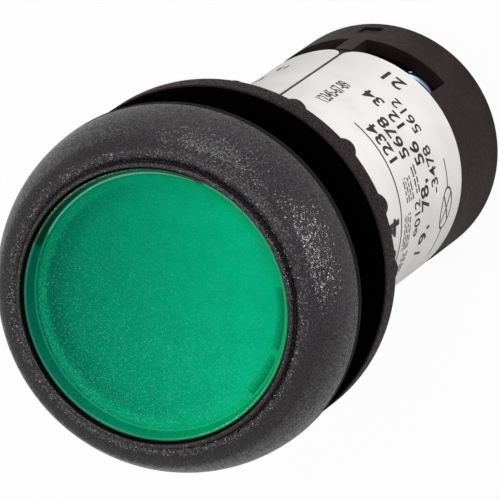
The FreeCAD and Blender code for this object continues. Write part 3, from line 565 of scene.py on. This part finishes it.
def ring_profile():
    """A broad flank, a tight crown, a soft brow that falls towards the lip, a valley and the lip."""
    across = RING_OUT - DOME_IN
    side = (across ** 2 + (RING_TOP - CROWN) ** 2 - CROWN ** 2) / (2 * (across - CROWN))
    lean = math.degrees(math.atan2(RING_TOP - CROWN, DOME_IN - (RING_OUT - side)))
    flank = arc((RING_OUT - side, 0), side, FLANK_START, lean, 26)
    crown = arc((DOME_IN, RING_TOP - CROWN), CROWN, lean, BROW_START, 18)
    turn = math.radians(BROW_START)
    middle_of_brow = Vector(crown[-1]) - Vector((math.cos(turn), math.sin(turn))) * BROW
    brow = arc(middle_of_brow, BROW, BROW_START, BROW_END, 18)
    lip = softened([
        brow[-1], (LIP_OUT + 0.05, VALLEY + 0.03, 0.1), (LIP_OUT - 0.02, LIP_TOP, 0.17),
        (LIP_IN, LIP_TOP, 0.1), (LIP_IN, SEAT_TOP), (SEAT_OUT, SEAT_TOP), (SEAT_OUT, PANEL),
        (GROOVE_IN, PANEL), (GROOVE_IN, GROOVE_TOP), (GROOVE_OUT, GROOVE_TOP), (GROOVE_OUT, PANEL),
        (RING_OUT - 0.16, PANEL, 0.05), (RING_OUT - 0.02, 0.1),
    ], closed=False)
    return flank + crown[1:] + brow[1:] + lip[1:]


ring = lathe("ring_shell", ring_profile(), black, count=320)
# painted shade on the inner wall of the lip and on the seat and groove underneath
add_material(ring, ring_inside_shade, lambda r, z: r < LIP_IN + 0.02 and z < LIP_TOP - 0.15 or z < SEAT_TOP + 0.15)
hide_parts("front_ring")
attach(ring, "housing")


# Lens

CAD_LENS_OUT, SKIRT_REAR, _ = extent("button_lens")
LENS_OUT = CAD_LENS_OUT + 0.02
LENS_TOP, LENS_UNDER, ROOF = 6.42, 3.7, 3.8
DISH_OUT, DISH_LOW, DISH_RISE = 9.4, 4.7, 0.25
RAMP_OUT, RAMP_TOP = 9.9, 5.2
BAND_OUT, BAND_TOP = 10.3, 5.36
FOOT_IN, FOOT_OUT = (10.4, 5.44), (10.46, 5.42)     # the line at the rim's foot
RIM_IN = 10.72
SKIRT_OUT, SKIRT_IN = 7.95, 7.15


def lens_profile():
    """A shallow dish, a ramp and a band round it, a foot line, and a rim that rises to a narrow round top."""
    dish = [(DISH_OUT * t, DISH_LOW + DISH_RISE * t ** 2) for t in np.linspace(0, 1, 14)]
    rest = softened([
        (DISH_OUT, DISH_LOW + DISH_RISE), (RAMP_OUT, RAMP_TOP, 0.16), (BAND_OUT, BAND_TOP), FOOT_IN, FOOT_OUT,
        (RIM_IN, LENS_TOP, 0.1), (LENS_OUT, LENS_TOP, 0.12), (LENS_OUT, LENS_UNDER, 0.08),
        (SKIRT_OUT, LENS_UNDER), (SKIRT_OUT, SKIRT_REAR, 0.1), (SKIRT_IN, SKIRT_REAR, 0.1), (SKIRT_IN, ROOF),
        (0, ROOF),
    ], closed=False)
    return dish[:-1] + rest


def on_line(r, z):
    return BAND_OUT + 0.02 < r < FOOT_OUT[0] + 0.005 and z > BAND_TOP - 0.06


def on_slope(r, z):
    return FOOT_OUT[0] + 0.005 < r < RIM_IN + 0.02 and BAND_TOP < z < LENS_TOP - 0.1


def on_top(r, z):
    return r > RIM_IN - 0.12 and z > LENS_TOP - 0.1


def on_edge(r, z):
    """The outer wall, and the underside of the lens."""
    return r > LENS_OUT - 0.05 and z < LENS_TOP - 0.12 or r > SKIRT_OUT + 0.05 and z < LENS_UNDER + 0.3


lens = lathe("lens_cap", lens_profile(), lens_face, closed=False, count=320)
add_material(lens, lens_line, on_line)
add_material(lens, lens_slope, on_slope)
add_material(lens, lens_top, on_top)
add_material(lens, lens_edge, on_edge)
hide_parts("button_lens")
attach(lens, "button")


# Locking nut: a flange and a hub with half-round grip lugs

NUT_OUT, NUT_REAR, NUT_FRONT = extent("locking_nut")
NUT_MID, HUB, NUT_BORE = -9.15, 12.85, 10.55
LUGS, LUG_PHASE = 16, math.radians(-2.5)
LUG_SIZE, LUG_ROOT = 1.1, 0.25             # a lug's radius and the softening at its root
FLANGE_EDGE, BORE_EDGE = 0.2, 0.3
HUB_STEPS = (0, 0), (0.5, 0), (2.3, 0), (2.42, 0.03), (2.5, 0.1), (2.55, 0.22)     # drop and shrink


def lug_radius(angle):
    """The hub's outer radius at an angle, with a soft root where each lug meets it."""
    pitch = 2 * math.pi / LUGS
    off = (angle - LUG_PHASE + pitch / 2) % pitch - pitch / 2
    inside = LUG_SIZE ** 2 - (HUB * math.sin(off)) ** 2
    lug = HUB * math.cos(off) + math.sqrt(inside) if inside > 0 else 0
    reach = abs(off) * HUB - LUG_SIZE
    soft = LUG_ROOT * max(0, 1 - reach / LUG_ROOT) ** 2 * 0.5 if reach > 0 else 0
    return max(HUB + soft, lug)


def nut_angles():
    """Angles that crowd together at the lugs' edges."""
    pitch = 2 * math.pi / LUGS
    edge = math.asin(LUG_SIZE / HUB)
    half = [edge * math.sin(t) for t in np.linspace(0, math.pi / 2, 13)]
    half += [edge + LUG_ROOT / HUB * t for t in (0.25, 0.5, 1)]
    half += list(np.linspace(edge + 1.2 * LUG_ROOT / HUB, pitch / 2, 5))[1:]
    offsets = sorted({-a for a in half[1:-1]} | set(half))
    return [LUG_PHASE + i * pitch + a for i in range(LUGS) for a in offsets]


def make_nut():
    """The flange, the hub down to its rounded rear edge, and the bore."""
    flange = softened([
        (NUT_BORE, NUT_FRONT, BORE_EDGE), (NUT_OUT, NUT_FRONT, FLANGE_EDGE), (NUT_OUT, NUT_MID, FLANGE_EDGE),
        (HUB + 1.35, NUT_MID),
    ], closed=False)
    angles = nut_angles()
    rows = [row_at(angles, r, z) for r, z in flange]
    for drop, shrink in HUB_STEPS:
        radii = [lug_radius(a) - shrink for a in angles]
        rows.append([(r * math.cos(a), r * math.sin(a), NUT_MID - drop) for r, a in zip(radii, angles)])
    for r, z in ((NUT_BORE + BORE_EDGE, NUT_REAR), (NUT_BORE, NUT_REAR + BORE_EDGE)):
        rows.append(row_at(angles, r, z))
    return rings("nut_shell", rows, nut_black)


nut = make_nut()
# painted shade on the nut's front face
add_material(nut, nut_face_shade, lambda r, z: z > NUT_FRONT - 0.05 and r < NUT_OUT - 0.12)
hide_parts("locking_nut")
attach(nut, "nut")


# Threaded collar: a smooth shoulder, then a thread of 1.5 mm pitch

FLANGE_OUT, COLLAR_REAR, FLANGE_FRONT = extent("threaded_collar")
SHOULDER, SHOULDER_REAR = 11.0, -1.0
THREAD_OUT, THREAD_ROOT, PITCH = 10.98, 10.16, 1.5
THREAD_START, THREAD_END = -1.1, -14.75
CREST, FLANK = 1.35, 3.4                   # a turn's height before it is cut off at 1, and its slope
LEAD_IN, LEAD_OUT = 0.9, 0.8               # lengths over which the thread grows and dies away
COLLAR_BORE, COUNTERBORE, COUNTERBORE_FRONT = 9.25, 9.8, -8.6


def make_collar():
    """The flange and the shoulder, then the thread in rows along the axis, and the stepped bore."""
    turns = np.linspace(0, 2 * math.pi, 144, endpoint=False)
    inner = [(COLLAR_BORE, FLANGE_FRONT), (FLANGE_OUT, FLANGE_FRONT), (FLANGE_OUT, PANEL), (SHOULDER, PANEL),
             (SHOULDER, SHOULDER_REAR)]
    rows = [row_at(turns, r, z) for r, z in inner]
    for z in np.arange(THREAD_START, THREAD_END, -PITCH / 14):
        grown = min(1, (THREAD_START + 0.05 - z) / LEAD_IN)
        left = min(1, max(0, (z - THREAD_END + 0.2) / LEAD_OUT))
        low = SHOULDER + (THREAD_ROOT - SHOULDER) * grown
        high = THREAD_ROOT + (THREAD_OUT - THREAD_ROOT) * left
        row = []
        for t in turns:
            phase = (z / PITCH + t / (2 * math.pi)) % 1
            wave = min(1, max(0, CREST - abs(phase - 0.5) * FLANK))
            r = low + max(high - low, 0) * wave
            row.append((r * math.cos(t), r * math.sin(t), z))
        rows.append(row)
    for r, z in ((THREAD_ROOT - 0.04, COLLAR_REAR), (COUNTERBORE, COLLAR_REAR),
                 (COUNTERBORE, COUNTERBORE_FRONT), (COLLAR_BORE, COUNTERBORE_FRONT)):
        rows.append(row_at(turns, r, z))
    return rings("collar_thread", rows, neck_black, angle=50)


collar = make_collar()
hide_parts("threaded_collar")
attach(collar, "housing")


# Gasket

GASKET_OUT, GASKET_REAR, GASKET_FRONT = extent("panel_gasket")
GASKET_IN = 12.6

gasket = lathe("gasket_ring", softened([
    (GASKET_IN, GASKET_FRONT, 0.1), (GASKET_OUT, GASKET_FRONT, 0.1),
    (GASKET_OUT, GASKET_REAR, 0.25), (GASKET_IN, GASKET_REAR, 0.25),
]), rubber)
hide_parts("panel_gasket")
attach(gasket, "housing")


# Label: a thin film round the body, with rounded corners at its seam and plain marks printed on it

SLEEVE_OUT, LABEL_REAR, LABEL_FRONT = extent("label_sleeve")
LABEL_R, LABEL_IN = SLEEVE_OUT - 0.02, 10.062
SEAM_MID, SEAM_HALF = math.radians(-1.75), 0.16 / 10.1
SEAM_CORNER = 1.6
LABEL_ROWS = 6


def make_label():
    """The film as a grid whose end columns are cut back to round the corners."""
    start, end = SEAM_MID + SEAM_HALF, SEAM_MID - SEAM_HALF + 2 * math.pi
    near = [SEAM_CORNER * (1 - math.cos(t)) / LABEL_R for t in np.linspace(0, math.pi / 2, 12)]
    angles = [start + a for a in near]
    angles += list(np.linspace(start + near[-1], end - near[-1], 260))[1:-1]
    angles += [end - a for a in reversed(near)]
    points, faces = [], []
    rows = LABEL_ROWS
    for a in angles:
        left = SEAM_CORNER - min(a - start, end - a) * LABEL_R
        trim = SEAM_CORNER - math.sqrt(max(0, SEAM_CORNER ** 2 - left ** 2)) if left > 0 else 0
        front, rear = LABEL_FRONT - trim, LABEL_REAR + trim
        for radius in (LABEL_R, LABEL_IN):
            for k in range(rows):
                z = front + (rear - front) * k / (rows - 1)
                points.append((radius * math.cos(a), radius * math.sin(a), z))
    step = 2 * rows
    for i in range(len(angles) - 1):
        for k in range(rows - 1):
            a, b = i * step + k, (i + 1) * step + k
            faces += [(a, b, b + 1, a + 1), (a + rows, a + rows + 1, b + rows + 1, b + rows)]
        for k in (0, rows - 1):
            a, b = i * step + k, (i + 1) * step + k
            faces.append((a, a + rows, b + rows, b))
    for base in (0, (len(angles) - 1) * step):
        for k in range(rows - 1):
            faces.append((base + k, base + k + 1, base + rows + k + 1, base + rows + k))
    return make_object("label_film", points, faces, paper)


label = make_label()
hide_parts("label_sleeve")
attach(label, "housing")

INK_HALF = 0.006                           # half the print's thickness
PRINT_R = LABEL_R + 2 * INK_HALF
PRINT_STEP = 0.35                          # the longest edge of the print round the label
MOST_CUTS = 5
print_points, print_faces = [], []


def wrap(x, y, z, angle, height):
    """A flat point of the print, in millimetres, laid on the label at an angle and a z."""
    turn = angle + x / LABEL_R
    radius = PRINT_R + z
    return radius * math.cos(turn), radius * math.sin(turn), height + y


def add_flat(mesh, angle, height):
    """Adds a flat mesh to the print, its long edges halved until they can follow the label."""
    work = bmesh.new()
    work.from_mesh(mesh)
    bmesh.ops.triangulate(work, faces=work.faces)
    for _ in range(MOST_CUTS):
        long = [e for e in work.edges if abs(e.verts[0].co.x - e.verts[1].co.x) > PRINT_STEP]
        if not long:
            break
        bmesh.ops.subdivide_edges(work, edges=long, cuts=1)
        bmesh.ops.triangulate(work, faces=work.faces)
    work.verts.index_update()
    base = len(print_points)
    print_points.extend(wrap(v.co.x, v.co.y, v.co.z, angle, height) for v in work.verts)
    print_faces.extend(tuple(base + v.index for v in f.verts) for f in work.faces)
    work.free()


def part_angle(camera_angle):
    """The part's own angle for one measured from the camera's side, in degrees."""
    return math.radians(camera_angle + CAMERA_TURN)


def add_text(text, camera_angle, height, size, bold=0.05, squeeze=0.8, along_axis=False):
    """Figures on the label, across it or along its axis, narrowed and thickened."""
    curve = bpy.data.curves.new("figures", "FONT")
    curve.body = text
    curve.size = size
    curve.offset = bold
    curve.align_x = "CENTER"
    curve.align_y = "CENTER"
    curve.extrude = INK_HALF
    holder = bpy.data.objects.new("figures", curve)
    bpy.context.scene.collection.objects.link(holder)
    bpy.context.view_layer.update()
    mesh = bpy.data.meshes.new_from_object(holder.evaluated_get(bpy.context.evaluated_depsgraph_get()))
    turn = Matrix.Rotation(math.radians(-90 if along_axis else 0), 4, "Z")
    mesh.transform(turn @ Matrix.Diagonal((squeeze, 1, 1, 1)))
    add_flat(mesh, part_angle(camera_angle), height)
    bpy.data.objects.remove(holder)
    bpy.data.curves.remove(curve)
    bpy.data.meshes.remove(mesh)


def add_band(path, width, camera_angle, height, closed=False):
    """A printed line of that width along a flat path."""
    half = width / 2
    count = len(path)
    sides = []
    for i, p in enumerate(path):
        before = path[i - 1] if closed or i else p
        after = path[(i + 1) % count] if closed or i < count - 1 else p
        along = (Vector(after) - Vector(before)).normalized()
        across = Vector((-along.y, along.x)) * half
        sides.append((Vector(p) + across, Vector(p) - across))
    mesh = bpy.data.meshes.new("line")
    points, faces = [], []
    for left, right in sides:
        for level in (-INK_HALF, INK_HALF):
            points += [(left.x, left.y, level), (right.x, right.y, level)]
    for i in range(count if closed else count - 1):
        a, b = i * 4, ((i + 1) % count) * 4
        faces += [(a, b, b + 1, a + 1), (a + 2, a + 3, b + 3, b + 2)]
        faces += [(a, a + 2, b + 2, b), (a + 1, b + 1, b + 3, a + 3)]
    if not closed:
        last = (count - 1) * 4
        faces += [(0, 1, 3, 2), (last, last + 2, last + 3, last + 1)]
    mesh.from_pydata(points, [], faces)
    add_flat(mesh, part_angle(camera_angle), height)
    bpy.data.meshes.remove(mesh)


def add_line(x0, y0, x1, y1, width, camera_angle, height):
    """A straight printed line between two flat points."""
    count = max(2, int(abs(x1 - x0) / PRINT_STEP) + 2)
    path = [(x0 + (x1 - x0) * t, y0 + (y1 - y0) * t) for t in np.linspace(0, 1, count)]
    add_band(path, width, camera_angle, height)


def oval_path(across, along):
    """A flat oval's points, from its two radii."""
    return [(across * math.cos(t), along * math.sin(t))
            for t in np.linspace(0, 2 * math.pi, 40, endpoint=False)]


def add_bars(camera_angle, height, rows, length, width=0.2, spacing=0.5):
    """Short lines of broken bars, in the place of fine print."""
    end = length / 2
    for row in range(rows):
        x, y = -end, -row * spacing
        while x < end:
            step = random.uniform(0.25, 0.9)
            add_line(x, y, min(x + step, end), y, width, camera_angle, height)
            x += step + 0.16


FIGURES = (                                # text, angle from the camera's side, z, size
    ("21", 21.5, -36.2, 3.0), ("1234", -1, -25.4, 2.5), ("5678", -1.3, -28.0, 2.5), ("12", 4, -30.4, 2.4),
    ("34", 19.3, -30.5, 2.4), ("56", -13.5, -30.4, 2.6), ("78,", -33, -29.9, 2.6), ("/ 9,", -56, -30.3, 2.6),
    ("5612", 3.5, -32.7, 2.2), ("-3478", -24.2, -32.5, 2.2), ("9012", -41, -27.9, 1.9),
)
LARGE = (("4", -37.5), ("3", -52))         # text and angle
SMALL = (("12", 72, -33.9), ("34", 80, -31.5))
BARS = (                                   # angle, z, rows, length, width and spacing
    (-25, -25.5, 4, 2.0), (-23, -28.0, 2, 2.3, 0.24, 0.6), (-44, -24.6, 4, 3.0, 0.16, 0.45),
    (-62, -25.4, 3, 2.6),
)
SYMBOL_AT = (-46.7, -35.45)                # the lamp symbol's angle and z
OVAL_X, OVAL_Y = 1.75, 1.26
CROSS_X, CROSS_Y = 1.22, 0.88
LEAD_LEFT, LEAD_RIGHT = -4.4, 4.2
SYMBOL_LINE = 0.16
RULE_HALF = 6.6


def add_marks():
    """Plain numbers in rows, bars for fine print, a rule, and the usual symbol for a lamp."""
    for text, angle, height, size in FIGURES:
        add_text(text, angle, height, size, bold=0.05 if size > 2.3 else 0.02)
    for text, angle in LARGE:
        add_text(text, angle, -21.9, 3.6, bold=0.12)
    add_text("12345-67-89", 33.4, -27.1, 1.7, bold=0.01, squeeze=0.72, along_axis=True)
    for text, angle, height in SMALL:
        add_text(text, angle, height, 1.6, bold=0.02)
    add_line(-RULE_HALF, 0, RULE_HALF, 0, width=0.2, camera_angle=-22.5, height=-23.7)
    for bars in BARS:
        add_bars(*bars)
    add_band(oval_path(OVAL_X, OVAL_Y), SYMBOL_LINE + 0.01, *SYMBOL_AT, closed=True)
    for slant in (-1, 1):
        add_line(-CROSS_X, -CROSS_Y * slant, CROSS_X, CROSS_Y * slant, SYMBOL_LINE, *SYMBOL_AT)
    add_line(LEAD_LEFT, 0, -OVAL_X, 0, SYMBOL_LINE, *SYMBOL_AT)
    add_line(OVAL_X, 0, LEAD_RIGHT, 0, SYMBOL_LINE, *SYMBOL_AT)


add_marks()
label_print = make_object("label_print", print_points, print_faces, ink, angle=30)
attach(label_print, "housing")


# Guides round the driver holes, on the inside of the rear cover

DRIVER_X, DRIVER_Y, DRIVER_HOLE = 4.5, 3.776, 2.5
GUIDE_OUT, GUIDE_REAR, GUIDE_FRONT = 2.95, -46.55, -45.5
GUIDE_PROFILE = softened([
    (DRIVER_HOLE, GUIDE_REAR), (DRIVER_HOLE, GUIDE_FRONT, 0.12), (GUIDE_OUT, GUIDE_FRONT, 0.12),
    (GUIDE_OUT, GUIDE_REAR),
])

drivers = [(x, y) for x in (DRIVER_X, -DRIVER_X) for y in (DRIVER_Y, -DRIVER_Y)]
for index, (x, y) in enumerate(drivers, 1):
    guide = lathe(f"driver_guide_{index}", GUIDE_PROFILE, block_dark, count=72)
    guide.data.transform(Matrix.Translation((x * MM, y * MM, 0)))
    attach(guide, "housing")


# Springs: round wire, with the end turns closed flat on their seats

SPRING_REAR, SPRING_FRONT = -17.0, -9.7
CONTACT_TOP = -18.5                        # the contact spring's seat in the carrier
WIRE_SIDES = 10
COIL_EASE = 0.25                           # how much more slowly the wire rises by its end turns


def coil(name, centre, radius, wire, low, high, turns, material, steps):
    """A compression spring between two seats; its first and last turn lie flat."""
    count = int((turns + 2) * steps)
    rise = high - low - 2 * wire
    section = [2 * math.pi * k / WIRE_SIDES for k in range(WIRE_SIDES)]
    points = []
    for i in range(count + 1):
        at = i / steps
        share = min(1, max(0, (at - 0.75) / (turns + 0.5)))
        eased = share * share * (3 - 2 * share)
        share = (1 - COIL_EASE) * share + COIL_EASE * eased
        z = low + wire + rise * share
        turn = 2 * math.pi * at
        for a in section:
            r, up = radius + wire * math.cos(a), wire * math.sin(a)
            points.append((centre[0] + r * math.cos(turn), centre[1] + r * math.sin(turn), z + up))
    faces = []
    for i in range(count):
        here, ahead = i * WIRE_SIDES, (i + 1) * WIRE_SIDES
        for k in range(WIRE_SIDES):
            m = (k + 1) % WIRE_SIDES
            faces.append((here + k, here + m, ahead + m, ahead + k))
    faces.append(tuple(range(WIRE_SIDES)))
    faces.append(tuple(count * WIRE_SIDES + k for k in reversed(range(WIRE_SIDES))))
    return make_object(name, points, faces, material, angle=50)


press_spring = coil(
    "return_coil", (0, 0), radius=8.2, wire=0.35, low=SPRING_REAR, high=SPRING_FRONT, turns=3.5,
    material=steel, steps=60)
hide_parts("return_spring")
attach(press_spring, "housing")
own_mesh(press_spring)

bridge_middle = middle("contact_bridge")
_, _, BRIDGE_FRONT = extent("contact_bridge")
bridge_spring = coil(
    "contact_coil", bridge_middle, radius=0.72, wire=0.14, low=BRIDGE_FRONT, high=CONTACT_TOP, turns=5,
    material=steel, steps=24)
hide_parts("contact_spring")
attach(bridge_spring, "button")
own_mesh(bridge_spring)


# Materials of the carried-over nodes

for node_name, node_material in {
    "body_housing": body_black, "terminal_block": block_dark, "rear_cover": body_black,
    "plunger_seal": rubber, "diffuser": opal, "plunger": inner_grey, "contact_carrier": inner_grey,
    "contact_bridge": brass, "led_board": board_green, "led_lamp": led_clear, "resistor": enamel,
}.items():
    paint(node_name, node_material)
for letter in "ab":
    paint(f"contact_terminal_{letter}", brass)
    paint(f"lamp_terminal_{letter}", brass)
    paint(f"moving_contact_{letter}", silver)
    paint(f"fixed_contact_{letter}", silver)
for index in range(1, 5):
    paint(f"terminal_screw_{index}", screw_steel)
    paint(f"clamp_washer_{index}", zinc)


# Floor and background

FLOOR_HALF, FLOOR_DROP = 3, 0.0002         # metres: half the floor's side, and its gap under the part
FLOOR_GLOW = 0.96                          # the share of plain white that the camera sees on the floor
SOFT_LIGHT = 0.25                          # the world's strength on the part


def add_node(tree, kind, **values):
    """A node of a tree, with its inputs' values by name."""
    node = tree.nodes.new(kind)
    for key, value in values.items():
        node.inputs[key].default_value = value
    return node


def combine(tree, operation, first, second):
    """The result of a Math node on an output and another output, or a number."""
    node = tree.nodes.new("ShaderNodeMath")
    node.operation = operation
    tree.links.new(first, node.inputs[0])
    if isinstance(second, float):
        node.inputs[1].default_value = second
    else:
        tree.links.new(second, node.inputs[1])
    return node.outputs[0]


def mix_shaders(tree, amount, first, second, output):
    """Mixes two shaders by an amount and joins the result to an output node."""
    mixer = tree.nodes.new("ShaderNodeMixShader")
    for source, target in zip((amount, first.outputs[0], second.outputs[0]), mixer.inputs):
        tree.links.new(source, target)
    tree.links.new(mixer.outputs[0], tree.nodes[output].inputs["Surface"])


def make_floor():
    """A plain pale floor just under the part, white to the camera but for the shadow."""
    side = FLOOR_HALF
    mesh = bpy.data.meshes.new("floor")
    corners = [(-side, -side, 0), (side, -side, 0), (side, side, 0), (-side, side, 0)]
    mesh.from_pydata(corners, [], [(0, 1, 2, 3)])
    floor = bpy.data.objects.new("floor", mesh)
    bpy.context.scene.collection.objects.link(floor)
    floor.location.z = cad_box[0][2] - FLOOR_DROP
    material = bpy.data.materials.new("floor")
    material.use_nodes = True
    tree = material.node_tree
    matt = tree.nodes["Principled BSDF"]
    matt.inputs["Base Color"].default_value = (0.9, 0.9, 0.9, 1)
    matt.inputs["Roughness"].default_value = 0.9
    rays = add_node(tree, "ShaderNodeLightPath")
    glow = add_node(tree, "ShaderNodeEmission", Strength=1.0)
    amount = combine(tree, "MULTIPLY", rays.outputs["Is Camera Ray"], FLOOR_GLOW)
    mix_shaders(tree, amount, matt, glow, "Material Output")
    mesh.materials.append(material)
    return floor


def make_world():
    """A soft even light, and plain white where the camera, gloss or glass looks past the floor."""
    world = bpy.data.worlds.new("world")
    bpy.context.scene.world = world
    world.use_nodes = True
    tree = world.node_tree
    soft = tree.nodes["Background"]
    soft.inputs["Color"].default_value = (1, 1, 1, 1)
    soft.inputs["Strength"].default_value = SOFT_LIGHT
    white = add_node(tree, "ShaderNodeBackground", Color=(1, 1, 1, 1), Strength=1.0)
    rays = add_node(tree, "ShaderNodeLightPath")
    shown = rays.outputs["Is Camera Ray"]
    for kind in ("Is Glossy Ray", "Is Transmission Ray"):
        shown = combine(tree, "MAXIMUM", shown, rays.outputs[kind])
    mix_shaders(tree, shown, soft, white, "World Output")


floor = make_floor()
make_world()


# Lamps

LAMP_AIM = Vector((0, 0, -0.01))           # metres


def area_light(name, right, up, back, size, power):
    """A soft lamp placed by the camera's own directions, in metres from the part, and aimed at it."""
    place = LAMP_AIM + camera_turn @ Vector((right, up, back))
    data = bpy.data.lights.new(name, "AREA")
    data.shape = "DISK"
    data.size = size
    data.energy = power
    light = bpy.data.objects.new(name, data)
    bpy.context.scene.collection.objects.link(light)
    aim = (place - LAMP_AIM).to_track_quat("Z", "Y").to_matrix().to_4x4()
    light.matrix_world = Matrix.Translation(place) @ aim


area_light("key", right=0.46, up=0.12, back=0.15, size=0.14, power=2.75)
area_light("front", right=-0.1, up=0.02, back=0.58, size=0.35, power=1.2)
area_light("top", right=0.045, up=0.41, back=0.17, size=0.2, power=0.85)
area_light("edge", right=-0.37, up=-0.1, back=0.315, size=0.06, power=0.4)

bpy.context.scene.view_settings.view_transform = "Standard"
